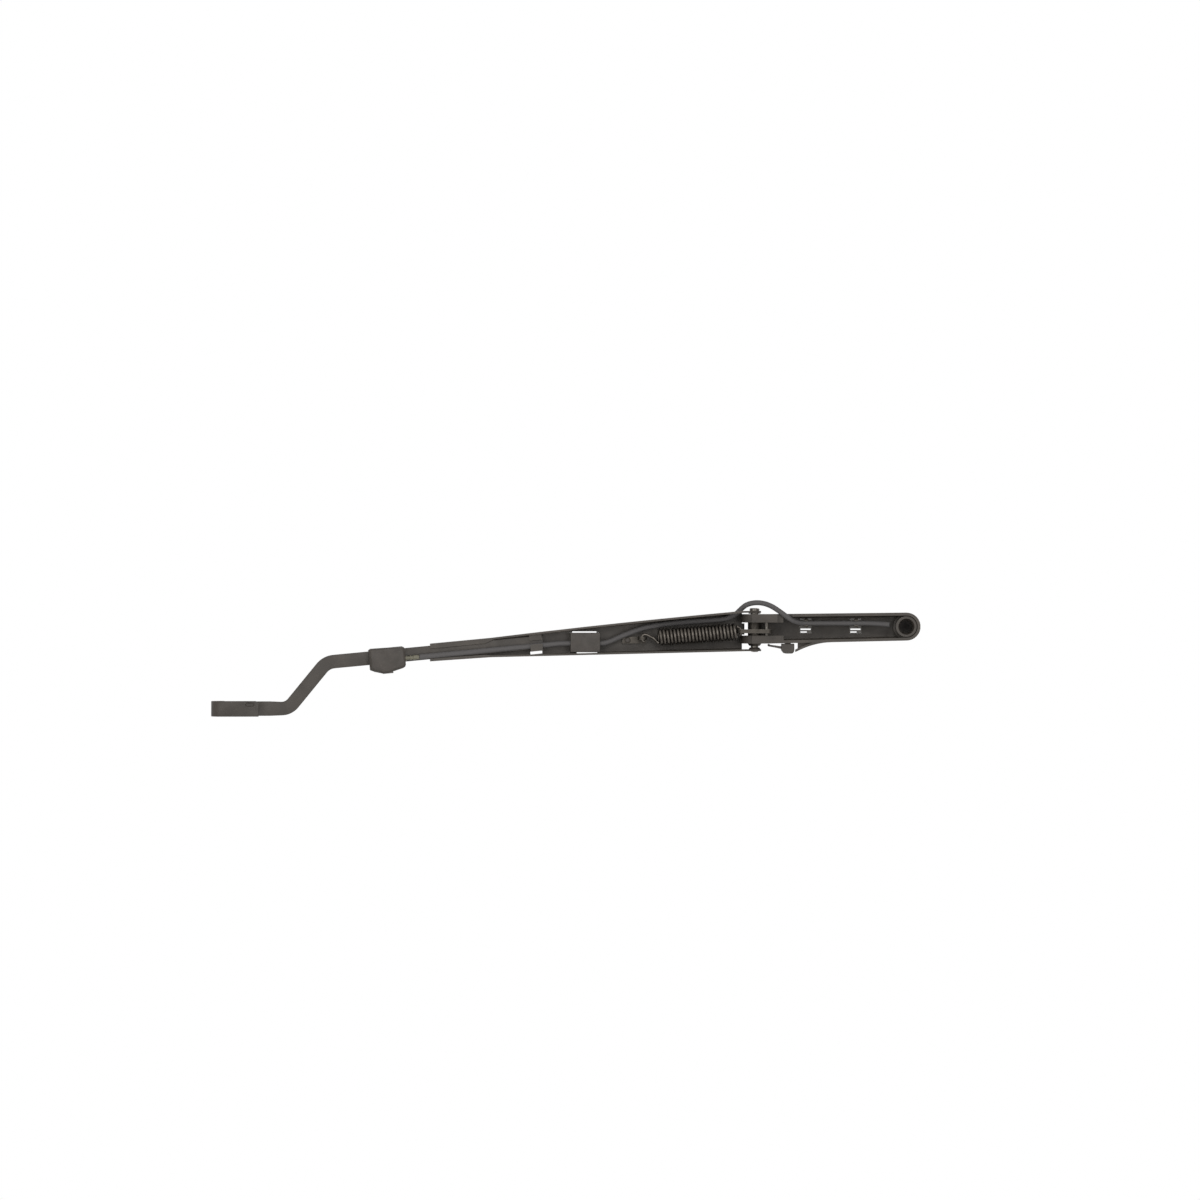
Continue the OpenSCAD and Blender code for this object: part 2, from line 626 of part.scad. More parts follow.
module strip_plan() {
    half = strip_w / 2;
    half_hook = hook_w / 2;
    cut_hi = bend_hi_r * tan((fall - strip_slant) / 2);
    cut_lo = bend_lo_r * tan(fall / 2);
    strip_end = [strip_x0, strip_y - tan(strip_slant) * (strip_x0 - channel_x1)];
    side = half * [sin(strip_slant), cos(strip_slant)];
    centre_hi = corner_hi - cut_hi * heading(strip_slant)
        - bend_hi_r * [sin(strip_slant), cos(strip_slant)];
    lo_out = corner_lo + [cut_lo, 0];
    centre_lo = lo_out + [0, bend_lo_r];
    wide_x = lo_out[0] + 8;
    polygon(concat(
        [strip_end + side],
        arc(centre_hi, bend_hi_r + half, 90 - strip_slant, 90 - fall),
        arc(centre_lo, bend_lo_r - half, 270 - fall, 270),
        [[wide_x, hook_y + half_hook], [hook_bend_x, hook_y + half_hook],
            [hook_bend_x, hook_y - half_hook], [wide_x, hook_y - half_hook]],
        arc(centre_lo, bend_lo_r + half, 270, 270 - fall),
        arc(centre_hi, bend_hi_r - half, 90 - fall, 90 - strip_slant),
        [strip_end - side]));
}

module arm_strip() color("#35332f") at_arm() {
    dimple = [hook_x - 25.4, hook_y + 2.8];
    difference() {
        union() {
            translate([0, 0, web_z - sheet_t - strip_t]) linear_extrude(strip_t) strip_plan();
            translate([0, hook_y + hook_wide / 2, 0]) rotate([90, 0, 0])
                linear_extrude(hook_wide) hook_side();
        }
        for (dx = [-1.6, 1.6])
            translate([dimple[0] + dx, dimple[1], hook_mid_z - hook_out_r - over])
                cylinder(h = over + 0.7, r = 1.1);
        translate([dimple[0] - 1.6, dimple[1] - 1.1, hook_mid_z - hook_out_r - over])
            cube([3.2, 2.2, over + 0.7]);
        translate([hook_x - hook_leg, hook_y + hook_wide / 2, hook_mid_z - hook_out_r - over])
            rotate([0, 0, 45]) translate([-1.2, -1.2, 0]) cube([2.4, 2.4, strip_t + 2 * over]);
    }
}

// Side view of the hook: the bend and its return leg
module hook_side() {
    mid = [hook_bend_x, hook_mid_z];
    polygon(concat(
        [[hook_bend_x - 2, hook_mid_z + hook_out_r]],
        arc(mid, hook_out_r, 90, -90, 24),
        [[hook_x - hook_leg, hook_mid_z - hook_out_r], [hook_x - hook_leg, hook_mid_z - hook_gap / 2]],
        arc(mid, hook_gap / 2, -90, 90, 24),
        [[hook_bend_x - 2, hook_mid_z + hook_gap / 2]]));
}

washer_t = 0.6;
module hinge_pin() color("#8c8b88") at_arm() {
    translate([hinge_x, edge_hi_x0 + pin_head_h, hinge_z]) rotate([90, 0, 0]) rotate_extrude()
        polygon([[0, 0], [pin_head_d / 2 - 0.5, 0], [pin_head_d / 2, 0.5],
            [pin_head_d / 2, pin_head_h - seat_gap], [pin_d / 2, pin_head_h - seat_gap],
            [pin_d / 2, pin_head_h + edge_hi_x0 - edge_lo_x0 + 0.1],
            [pin_d / 2 - 0.6, pin_head_h + edge_hi_x0 - edge_lo_x0 + 0.6],
            [0, pin_head_h + edge_hi_x0 - edge_lo_x0 + 0.6]]);
}

module thrust_washer() color("#8c8b88") at_arm() {
    translate([hinge_x, edge_hi_x0 - sheet_t - seat_gap, hinge_z]) rotate([90, 0, 0]) difference() {
        cylinder(h = washer_t, d = 8);
        translate([0, 0, -over]) cylinder(h = washer_t + 2 * over, d = pin_d + 2 * seat_gap);
    }
}

// Bracket on the web's inner face with an upright leg that the spring hooks into
foot_t = 2;
anchor_eye_r = 3;
module spring_anchor() color("#6f6d69") at_arm() {
    top = web_z - sheet_t - seat_gap;
    difference() {
        union() {
            translate([anchor_x - anchor_eye_r, -11.3, top - foot_t])
                cube([rivet_x + 3.5 - anchor_x + anchor_eye_r, 4.5, foot_t]);
            translate([0, anchor_y + 1, 0]) rotate([90, 0, 0]) linear_extrude(2) {
                translate([anchor_x - anchor_eye_r, anchor_z])
                    square([2 * anchor_eye_r, top - anchor_z]);
                translate([anchor_x, anchor_z]) circle(anchor_eye_r);
            }
        }
        translate([anchor_x - 0.1, 0, anchor_z]) rotate([90, 0, 0]) cylinder(h = 40, r = wire_r + 0.7);
        translate([rivet_x, rivet_y, top - foot_t - over])
            cylinder(h = foot_t + 2 * over, d = rivet_d + 2 * seat_gap);
    }
}

module anchor_rivet() color("#34322f") at_arm() {
    grip = sheet_t + foot_t + seat_gap;
    translate([rivet_x, rivet_y, web_z - grip]) rotate_extrude()
        polygon([[0, -1.1], [1.1, -1], [1.9, -0.6], [2.1, -seat_gap], [rivet_d / 2, -seat_gap],
            [rivet_d / 2, grip + seat_gap], [2.3, grip + seat_gap], [2.1, grip + 0.6], [1.2, grip + 1],
            [0, grip + 1.1]]);
}

// Moulded block that snaps into the web's window and carries the hose
module hose_holder() color("#2f2d2a") at_arm() {
    low_z = hose_lie_z + 0.8 - hose_r - 1.6;
    difference() {
        union() {
            translate([holder_x0, holder_y_lo, low_z])
                cube([holder_len, holder_y_hi - holder_y_lo, web_z + 0.8 - low_z]);
            translate([holder_x0 - 1.3, holder_y_lo + 1, web_z + seat_gap])
                cube([holder_len + 2.6, holder_y_hi - holder_y_lo - 2, 0.75]);
            translate([holder_x0 - 1.1, holder_y_lo + 3, web_z - sheet_t - 1.6 - seat_gap])
                cube([holder_len + 2.2, holder_y_hi - holder_y_lo - 6, 1.6]);
        }
        translate([holder_x0 - 3, -11.1, hose_lie_z + 0.8]) rotate([0, 90, 0])
            cylinder(h = holder_len + 6, r = hose_r + 0.25);
    }
}

// Route of the hose: in the flat arm, then from the channel's side round the hinge to the head
arm_route = [[323.6, -19.98, hose_lie_z], [310, -18.7, hose_lie_z], [290, -16.8, hose_lie_z],
    [270, -14.9, hose_lie_z], [255, -13.5, hose_lie_z], [241, -12.2, hose_lie_z],
    [233, -11.4, hose_lie_z + 0.4], [226, -11.1, hose_lie_z + 0.8], [202, -11.1, hose_lie_z + 0.8],
    [198, -9.9, hose_lie_z + 0.8], [193, -7.7, hose_lie_z + 0.9], [188, -5.6, hose_lie_z + 1],
    [180, -2.6, hose_lie_z + 1.4], [172, -0.2, hose_lie_z + 1.8], [160, 1.6, hose_lie_z + 2.2],
    [148, 2.8, hose_lie_z + 2.2], [136, 3.7, hose_lie_z + 1.6], [126, 4.4, 3.4], [120, 5.3, 2.4],
    [116, 6.9, 1.7], [113.6, 8.4, 1.4], [111.4, 10.4, 1.3], [109.3, 12.4, 1]];
head_route = [[106.4, 14.4, -0.6], [102.6, 15.6, -1.4], [98, 15.9, -2.4], [93.4, 15, -3.6],
    [89.2, 13.2, -4.8], [85.6, 10.9, -5.8], [82.4, 8.6, -6.5], [79.2, 6.2, -6.4], [76, 4.2, -5.2],
    [72.6, 2.9, -3.2], [69.4, 2.4, -1.5], [66.6, clip_hose_y, clip_hose_z], [58, clip_hose_y, clip_hose_z],
    [46, clip_hose_y, clip_hose_z], [clip_rear_x, clip_hose_y, clip_hose_z],
    [27, clip_hose_y, clip_hose_z - 0.1], [21, clip_hose_y - 0.2, clip_hose_z - 0.6],
    [15.5, clip_hose_y - 0.5, clip_hose_z - 1.5], [11, clip_hose_y - 0.9, clip_hose_z - 2.8]];
module washer_hose() color("#4b4945")
    tube(concat([for (p = arm_route) dropped(p)], head_route), hose_r, 8);

// Outline of the jet housing as seen from above, along the strip
jet_u0 = along_strip(jet_x0);
jet_outline = [[0, 5], [1, 5.7], [jet_len - 1.4, 6.2], [jet_len, 5.4], [jet_len, -8],
    [jet_len - 3, -9.4], [jet_len - 8, -10.9], [jet_len - 12, -10.7], [jet_len - 15.8, -10],
    [2.2, -8.6], [0.6, -7.8], [0, -6.4]];
jet_top = web_z - sheet_t - strip_t / 2;
jet_low = hose_lie_z - hose_r - 2.6;
insert_u = 8.8;
insert_len = 7;
insert_z = 0;
insert_h = 3.2;
insert_deep = 3;
insert_v = -11.2;
nipple_v = -2.2;

module jet_body() color("#2b2927") at_arm() at_strip() translate([jet_u0, 0, 0]) {
    difference() {
        hull() {
            translate([0, 0, jet_low + 1.4]) linear_extrude(jet_top - jet_low - 1.4 - seat_gap)
                polygon(jet_outline);
            translate([1.3, 0, jet_low]) linear_extrude(1)
                polygon([for (p = jet_outline) [p[0] * 0.88, p[1] * 0.86]]);
        }
        translate([-over, -strip_w / 2 - seat_gap, jet_top - strip_t / 2 - seat_gap])
            cube([jet_len + 2 * over, strip_w + 2 * seat_gap, strip_t]);
        translate([insert_u - seat_gap, insert_v - over, insert_z - seat_gap])
            cube([insert_len + 2 * seat_gap, insert_deep + over, insert_h + 2 * seat_gap]);
        translate([-over, nipple_v, hose_lie_z]) rotate([0, 90, 0]) cylinder(h = 5.1 + over, r = 1.35);
    }
}

module jet_clamp() color("#2b2927") at_arm() at_strip() translate([jet_u0, 0, 0]) {
    lid = strip_t / 2 + 1.8;
    difference() {
        hull() {
            translate([1, -6, jet_top + seat_gap]) cube([jet_len - 2, 11.9, lid - 1.4]);
            translate([2.2, -4.8, jet_top + seat_gap]) cube([jet_len - 4.4, 9.5, lid]);
        }
        translate([-over, -strip_w / 2 - seat_gap, jet_top - over])
            cube([jet_len + 2 * over, strip_w + 2 * seat_gap, strip_t / 2 + seat_gap + over]);
    }
}

module jet_insert() color("#55524c") at_arm() at_strip()
    translate([jet_u0 + insert_u, insert_v, insert_z]) {
    difference() {
        cube([insert_len, insert_deep - seat_gap, insert_h]);
        for (u = [insert_len * 0.28, insert_len * 0.72]) translate([u, -over, insert_h / 2])
            rotate([-90, 0, 0]) cylinder(h = 2 + over, r = 0.5);
    }
}

module hose_nipple() color("#5d5a3c") at_arm() at_strip()
    translate([jet_u0, nipple_v, hose_lie_z]) rotate([0, -90, 0]) rotate_extrude()
        polygon([[0, -4], [1.3, -4], [1.3, seat_gap], [1.7, seat_gap], [1.7, 1.2], [1.2, 1.3], [1.2, 3],
            [1.65, 3.2], [1.2, 5.2], [1.65, 5.4], [1.3, 9.3], [0, 9.3]]);

mounting_head();
nut_cap();
hinge_bush();
link_pin();
hose_clip_front();
hose_clip_rear();
stop_buffer();
spring_link();
tension_spring();
arm_channel();
arm_strip();
hinge_pin();
thrust_washer();
spring_anchor();
anchor_rivet();
hose_holder();
washer_hose();
jet_body();
jet_clamp();
jet_insert();
hose_nipple();
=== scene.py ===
"""Looks of a windscreen wiper arm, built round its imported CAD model."""

import logging
import math
from dataclasses import dataclass
from enum import Enum
from typing import Any, Sequence

import bmesh
import bpy
from mathutils import Matrix, Vector


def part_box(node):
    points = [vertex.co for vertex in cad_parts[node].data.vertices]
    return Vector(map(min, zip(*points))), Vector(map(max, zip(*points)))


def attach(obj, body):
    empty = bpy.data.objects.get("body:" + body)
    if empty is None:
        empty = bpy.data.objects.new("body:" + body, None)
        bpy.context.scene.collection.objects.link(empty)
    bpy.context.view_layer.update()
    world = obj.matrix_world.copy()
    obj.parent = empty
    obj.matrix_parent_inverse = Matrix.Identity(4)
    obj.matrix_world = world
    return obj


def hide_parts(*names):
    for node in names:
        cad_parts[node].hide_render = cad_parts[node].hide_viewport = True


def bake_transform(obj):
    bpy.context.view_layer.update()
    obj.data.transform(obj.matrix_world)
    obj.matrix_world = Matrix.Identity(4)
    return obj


MM = 0.001
SPECK_MM = 0.45  # Size of the dust specks
BEVEL_SAMPLES = 6
JOIN_MM = 0.001  # Points of a sweep that are closer become one
CAD_JOIN_MM = 0.002  # The same for a copied CAD mesh
FLAT_DEG = 0.6  # Faces of a copied CAD mesh that meet flatter become one
NEAR_LOOP_DEG = range(250, 70, -15)  # Points of the spring's hook on the link
FAR_LOOP_DEG = range(125, -80, -15)  # Points of its hook in the anchor
BEND_STEPS = 3  # Samples between two points where the wire leaves the coils
log = logging.getLogger("wiper_arm")

Point = tuple[float, float, float]


def linear_rgb(code: str) -> tuple[float, float, float, float]:
    """Turns an sRGB hex colour into linear RGBA.

    Args:
        code: Colour such as "#2b2825".

    Returns:
        The linear colour with alpha 1.
    """
    parts = [int(code[i:i + 2], 16) / 255 for i in (1, 3, 5)]
    linear = [c / 12.92 if c <= 0.04045 else ((c + 0.055) / 1.055) ** 2.4 for c in parts]
    return (linear[0], linear[1], linear[2], 1.0)


def add_node(tree: bpy.types.NodeTree, kind: str, settings: dict[str, Any] | None = None,
             inputs: dict[Any, Any] | None = None) -> bpy.types.Node:
    """Adds a node with its settings, values and links.

    Args:
        tree: Node tree that takes the node.
        kind: Blender's type name of the node.
        settings: Properties of the node by name.
        inputs: Values or output sockets by the input's name or number.

    Returns:
        The new node.
    """
    node = tree.nodes.new(kind)
    for name, value in (settings or {}).items():
        setattr(node, name, value)
    for name, value in (inputs or {}).items():
        if isinstance(value, bpy.types.NodeSocket):
            tree.links.new(value, node.inputs[name])
        else:
            node.inputs[name].default_value = value
    return node


class Surface(Enum):
    """How a surface was made, which sets its grain."""

    SPRAYED = "sprayed"
    CAST = "cast"
    MOULDED = "moulded"
    DRAWN = "drawn"
    EXTRUDED = "extruded"


@dataclass(frozen=True)
class Finish:
    """One real material and what its surface gives the eye.

    Args:
        name: Common name of the material.
        surface: How the surface was made.
        base: Main colour.
        patch: Colour of the cloudy patches.
        dust: Colour of the fine dust that lies on it.
        patch_mm: Size of the patches.
        grain_mm: Spacing of the grain.
        grain_height_mm: Height of the grain.
        roughness: Middle roughness.
        roughness_swing: How far the roughness moves either way.
        edge: Colour of the edges, partly rubbed wear and partly a painted highlight along them.
        edge_share: How strongly the edges are lightened, as wear and as a painted highlight, from 0
            to 1.
        edge_mm: Radius by which edges catch the light.
        metallic: 1 for bare metal.
        specular: Strength of the shine of a paint or plastic; 0.5 is plain gloss.
        dust_share: How much dust shows, from 0 to 1.
    """

    name: str
    surface: Surface
    base: str
    patch: str
    dust: str
    patch_mm: float
    grain_mm: float
    grain_height_mm: float
    roughness: float
    roughness_swing: float
    edge: str = "#6b6661"
    edge_share: float = 0.3
    edge_mm: float = 0.35
    metallic: float = 0.0
    specular: float = 0.5
    dust_share: float = 0.08

    def material(self) -> bpy.types.Material:
        """Builds the node material of this finish, once.

        Returns:
            The material.
        """
        found = bpy.data.materials.get(self.name)
        if found:
            return found
        material = bpy.data.materials.new(self.name)
        material.use_nodes = True
        tree = material.node_tree
        tree.nodes.clear()
        place = add_node(tree, "ShaderNodeTexCoord").outputs["Object"]
        colour = self._colour(tree, place)
        rough = self._roughness(tree, place)
        bumped = self._bump(tree, place)
        shader = add_node(tree, "ShaderNodeBsdfPrincipled", {}, {
            "Base Color": colour, "Roughness": rough, "Normal": bumped,
            "Metallic": self.metallic, "Specular IOR Level": self.specular})
        add_node(tree, "ShaderNodeOutputMaterial", {}, {"Surface": shader.outputs[0]})
        return material

    def _colour(self, tree: bpy.types.NodeTree,
                place: bpy.types.NodeSocket) -> bpy.types.NodeSocket:
        """Colour with cloudy patches, dust, and edges lightened as wear and as a painted highlight.

        Args:
            tree: The material's tree.
            place: Object coordinates.

        Returns:
            The colour socket.
        """
        cloud = add_node(tree, "ShaderNodeTexNoise", {}, {
            "Vector": place, "Scale": 1 / (self.patch_mm * MM), "Detail": 4.0})
        cloud_range = add_node(tree, "ShaderNodeMapRange", {}, {
            "Value": cloud.outputs[0], "From Min": 0.35, "From Max": 0.68})
        mixed = add_node(tree, "ShaderNodeMix", {"data_type": "RGBA"}, {
            0: cloud_range.outputs[0], 6: linear_rgb(self.base), 7: linear_rgb(self.patch)})
        specks = add_node(tree, "ShaderNodeTexNoise", {}, {
            "Vector": place, "Scale": 1 / (SPECK_MM * MM), "Detail": 2.0})
        speck_range = add_node(tree, "ShaderNodeMapRange", {}, {
            "Value": specks.outputs[0], "From Min": 0.6, "From Max": 0.78,
            "To Max": self.dust_share * 2})
        dusty = add_node(tree, "ShaderNodeMix", {"data_type": "RGBA"}, {
            0: speck_range.outputs[0], 6: mixed.outputs[2], 7: linear_rgb(self.dust)})
        # Edges are mixed towards the edge colour: partly rubbed wear, partly a painted highlight
        # along every edge
        smooth = self._soft_edges(tree)
        flat = add_node(tree, "ShaderNodeNewGeometry")
        match = add_node(tree, "ShaderNodeVectorMath", {"operation": "DOT_PRODUCT"}, {
            0: smooth.outputs[0], 1: flat.outputs["Normal"]})
        edge_range = add_node(tree, "ShaderNodeMapRange", {}, {
            "Value": match.outputs["Value"], "From Min": 0.995, "From Max": 0.86,
            "To Max": self.edge_share})
        worn_and_highlit_edges = add_node(tree, "ShaderNodeMix", {"data_type": "RGBA"}, {
            0: edge_range.outputs[0], 6: dusty.outputs[2], 7: linear_rgb(self.edge)})
        return worn_and_highlit_edges.outputs[2]

    def _soft_edges(self, tree: bpy.types.NodeTree) -> bpy.types.Node:
        """Normal that turns softly over the edges.

        Args:
            tree: The material's tree.

        Returns:
            The node that gives it.
        """
        return add_node(tree, "ShaderNodeBevel", {"samples": BEVEL_SAMPLES},
                        {"Radius": self.edge_mm * MM})

    def _roughness(self, tree: bpy.types.NodeTree,
                   place: bpy.types.NodeSocket) -> bpy.types.NodeSocket:
        """Roughness that wanders as handling leaves it.

        Args:
            tree: The material's tree.
            place: Object coordinates.

        Returns:
            The roughness socket.
        """
        smear = add_node(tree, "ShaderNodeTexNoise", {}, {
            "Vector": place, "Scale": 1 / (self.patch_mm * 0.6 * MM), "Detail": 5.0,
            "Distortion": 0.6})
        return add_node(tree, "ShaderNodeMapRange", {}, {
            "Value": smear.outputs[0], "From Min": 0.3, "From Max": 0.7,
            "To Min": self.roughness - self.roughness_swing,
            "To Max": self.roughness + self.roughness_swing}).outputs[0]

    def _bump(self, tree: bpy.types.NodeTree, place: bpy.types.NodeSocket) -> bpy.types.NodeSocket:
        """Normal with the grain of the surface and softened edges.

        Args:
            tree: The material's tree.
            place: Object coordinates.

        Returns:
            The normal socket.
        """
        along = {Surface.DRAWN: 0.06, Surface.EXTRUDED: 0.1}.get(self.surface, 1.0)
        laid = add_node(tree, "ShaderNodeMapping", {}, {
            "Vector": place, "Scale": (along, 1.0, 1.0)})
        scale = 1 / (self.grain_mm * MM)
        if self.surface in (Surface.CAST, Surface.MOULDED):
            grain = add_node(tree, "ShaderNodeTexVoronoi", {"feature": "SMOOTH_F1"}, {
                "Vector": laid.outputs[0], "Scale": scale}).outputs[0]
        else:
            grain = add_node(tree, "ShaderNodeTexNoise", {}, {
                "Vector": laid.outputs[0], "Scale": scale, "Detail": 2.0}).outputs[0]
        smooth = self._soft_edges(tree)
        return add_node(tree, "ShaderNodeBump", {}, {
            "Height": grain, "Distance": self.grain_height_mm * MM, "Strength": 1.0,
            "Normal": smooth.outputs[0]}).outputs[0]


# Semi-gloss black spray paint: faint orange peel, edges lightened in colour as worn paint and as a
# painted highlight
BLACK_PAINT = Finish("black_epoxy_paint", Surface.SPRAYED, "#37332f", "#413c37", "#8b847c",
                     14, 0.9, 0.02, 0.5, 0.07, edge="#857e76", edge_share=0.6, specular=0.3)
# The same paint over a die casting, a little grainier
CAST_PAINT = Finish("black_paint_on_casting", Surface.CAST, "#37332f", "#423d38", "#8b847c",
                    11, 0.7, 0.03, 0.52, 0.08, edge="#6b655f", edge_share=0.4, specular=0.28)
# Phosphated spring steel plate: dark grey with a dull metallic gleam
LINK_STEEL = Finish("phosphated_steel", Surface.DRAWN, "#4c4843", "#3d3a36", "#837d76",
                    6, 0.25, 0.008, 0.5, 0.1, edge="#b5afa8", edge_share=0.7, edge_mm=0.25,
                    metallic=1.0)
# Oiled spring wire: bright lines along the wire
SPRING_WIRE = Finish("oiled_spring_wire", Surface.SPRAYED, "#6a655f", "#544f4a", "#8f8982",
                     3, 0.2, 0.006, 0.42, 0.08, edge="#aaa49c", edge_share=0.0, edge_mm=0.1,
                     metallic=1.0)
# Plated pins: light grey, smooth
PLATED_STEEL = Finish("zinc_plated_steel", Surface.DRAWN, "#6f6b66", "#5c5853", "#8f8a84",
                      5, 0.3, 0.006, 0.38, 0.08, edge="#c2beb8", edge_share=0.5, edge_mm=0.2,
                      metallic=1.0)
# Sintered bush: porous, darker
SINTERED = Finish("sintered_iron", Surface.CAST, "#4d4944", "#3f3b37", "#7d7770",
                  4, 0.35, 0.02, 0.55, 0.08, edge="#8a857e", edge_share=0.4, edge_mm=0.2,
                  metallic=1.0)
# Moulded black nylon with a spark-eroded grain
BLACK_NYLON = Finish("black_nylon", Surface.MOULDED, "#383430", "#423d39", "#8b847c",
                     7, 0.35, 0.02, 0.55, 0.07, edge="#5e5852", edge_share=0.4, edge_mm=0.3,
                     specular=0.3)
# Natural olive nylon of the nipple
OLIVE_NYLON = Finish("olive_nylon", Surface.MOULDED, "#5b584a", "#656253", "#8b847c",
                     4, 0.3, 0.01, 0.5, 0.06, edge="#77745c", edge_share=0.3, edge_mm=0.2)
# Washer hose: smooth extruded rubber with a grey bloom
HOSE_RUBBER = Finish("hose_rubber", Surface.EXTRUDED, "#7a756f", "#88827c", "#b4aea7",
                     9, 0.5, 0.008, 0.3, 0.06, edge="#6e6963", edge_share=0.0, edge_mm=0.1,
                     specular=0.6)
# Shinier nylon of the hose clips, which glints round the hose from its gloss; its grey, lighter than
# the other black nylon, is a painted highlight
CLIP_NYLON = Finish("polished_black_nylon", Surface.MOULDED, "#4a4540", "#55504a", "#8b847c",
                    5, 0.3, 0.006, 0.24, 0.05, edge="#8d877f", edge_share=0.5, edge_mm=0.25,
                    specular=0.9)


def dress(node: bpy.types.Object, finish: Finish) -> None:
    """Gives a CAD node a finish without touching its mesh.

    Args:
        node: The CAD node's object.
        finish: What it is made of.
    """
    for material_slot in node.material_slots:
        material_slot.link = "OBJECT"
        material_slot.material = finish.material()
    log.info("dressed %s with %s", node.name, finish.name)


def smooth_route(points: Sequence[Vector], steps: int) -> list[Vector]:
    """Rounds a route with a curve through all its points.

    Args:
        points: The route's points.
        steps: Samples in each stretch.

    Returns:
        The denser route.
    """
    full = [points[0] * 2 - points[1], *points, points[-1] * 2 - points[-2]]
    route: list[Vector] = []
    for i in range(1, len(full) - 2):
        p0, p1, p2, p3 = full[i - 1:i + 3]
        for k in range(steps):
            t = k / steps
            route.append(0.5 * ((2 * p1) + (p2 - p0) * t + (2 * p0 - 5 * p1 + 4 * p2 - p3) * t ** 2
                                + (3 * p1 - p0 - 3 * p2 + p3) * t ** 3))
    route.append(points[-1].copy())
    return route


def loop(mid: float, radius: float, degrees: Sequence[int]) -> list[Point]:
    """Bends a hook of the spring, flat on the spring's own axes.

    Args:
        mid: Place of the loop's middle along the spring, in millimetres.
        radius: Radius of the loop, in millimetres.
        degrees: Angles of the loop's points.

    Returns:
        The points, in millimetres.
    """
    turned = [math.radians(a) for a in degrees]
    return [(mid + radius * math.cos(a), radius * math.sin(a), 0.0) for a in turned]


class Sweep:
    """Geometry Nodes tree that sweeps a round section along a route."""

    def __init__(self) -> None:
        """Builds the tree with named inputs for its sizes and material."""
        tree = bpy.data.node_groups.new("round_sweep", "GeometryNodeTree")
        face = tree.interface
        face.new_socket("Geometry", in_out="INPUT", socket_type="NodeSocketGeometry")
        self.radius_id = face.new_socket(
            "Radius", in_out="INPUT", socket_type="NodeSocketFloat").identifier
        self.sides_id = face.new_socket(
            "Sides", in_out="INPUT", socket_type="NodeSocketInt").identifier
        self.material_id = face.new_socket(
            "Material", in_out="INPUT", socket_type="NodeSocketMaterial").identifier
        face.new_socket("Geometry", in_out="OUTPUT", socket_type="NodeSocketGeometry")
        given = add_node(tree, "NodeGroupInput")
        ring = add_node(tree, "GeometryNodeCurvePrimitiveCircle", {"mode": "RADIUS"}, {
            "Resolution": given.outputs["Sides"], "Radius": given.outputs["Radius"]})
        tube = add_node(tree, "GeometryNodeCurveToMesh", {}, {
            "Curve": given.outputs["Geometry"], "Profile Curve": ring.outputs[0],
            "Fill Caps": True})
        real = add_node(tree, "GeometryNodeRealizeInstances", {}, {"Geometry": tube.outputs[0]})
        painted = add_node(tree, "GeometryNodeSetMaterial", {}, {
            "Geometry": real.outputs[0], "Material": given.outputs["Material"]})
        add_node(tree, "NodeGroupOutput", {}, {"Geometry": painted.outputs[0]})
        self.tree = tree

    def make(self, name: str, route: Sequence[Vector], radius: float, sides: int,
             finish: Finish) -> bpy.types.Object:
        """Sweeps one piece and turns it into a plain mesh.

        Args:
            name: Name of the piece.
            route: Open route of the piece's middle line, in metres.
            radius: Radius of the section.
            sides: Sides of the section.
            finish: What the piece is made of.

        Returns:
            The finished object at the origin.
        """
        curve = bpy.data.curves.new(name + "_route", "CURVE")
        curve.dimensions = "3D"
        curve.twist_mode = "MINIMUM"
        spline = curve.splines.new("POLY")
        spline.points.add(len(route) - 1)
        for point, place in zip(spline.points, route):
            point.co = (*place, 1.0)
        carrier = bpy.data.objects.new(name + "_carrier", curve)
        bpy.context.scene.collection.objects.link(carrier)
        modifier = carrier.modifiers.new("sweep", "NODES")
        modifier.node_group = self.tree
        modifier[self.radius_id] = radius
        modifier[self.sides_id] = sides
        modifier[self.material_id] = finish.material()
        graph = bpy.context.evaluated_depsgraph_get()
        mesh = bpy.data.meshes.new_from_object(carrier.evaluated_get(graph))
        bpy.data.objects.remove(carrier)
        mesh.name = name
        piece = bpy.data.objects.new(name, mesh)
        bpy.context.scene.collection.objects.link(piece)
        tidy_mesh(mesh)
        for polygon in mesh.polygons:
            polygon.use_smooth = True
        return piece


def tidy_mesh(mesh: bpy.types.Mesh) -> None:
    """Merges doubles and points all faces outwards.

    Args:
        mesh: Mesh to tidy in place.
    """
    work = bmesh.new()
    work.from_mesh(mesh)
    bmesh.ops.remove_doubles(work, verts=work.verts, dist=JOIN_MM * MM)
    bmesh.ops.recalc_face_normals(work, faces=work.faces)
    work.to_mesh(mesh)
    work.free()


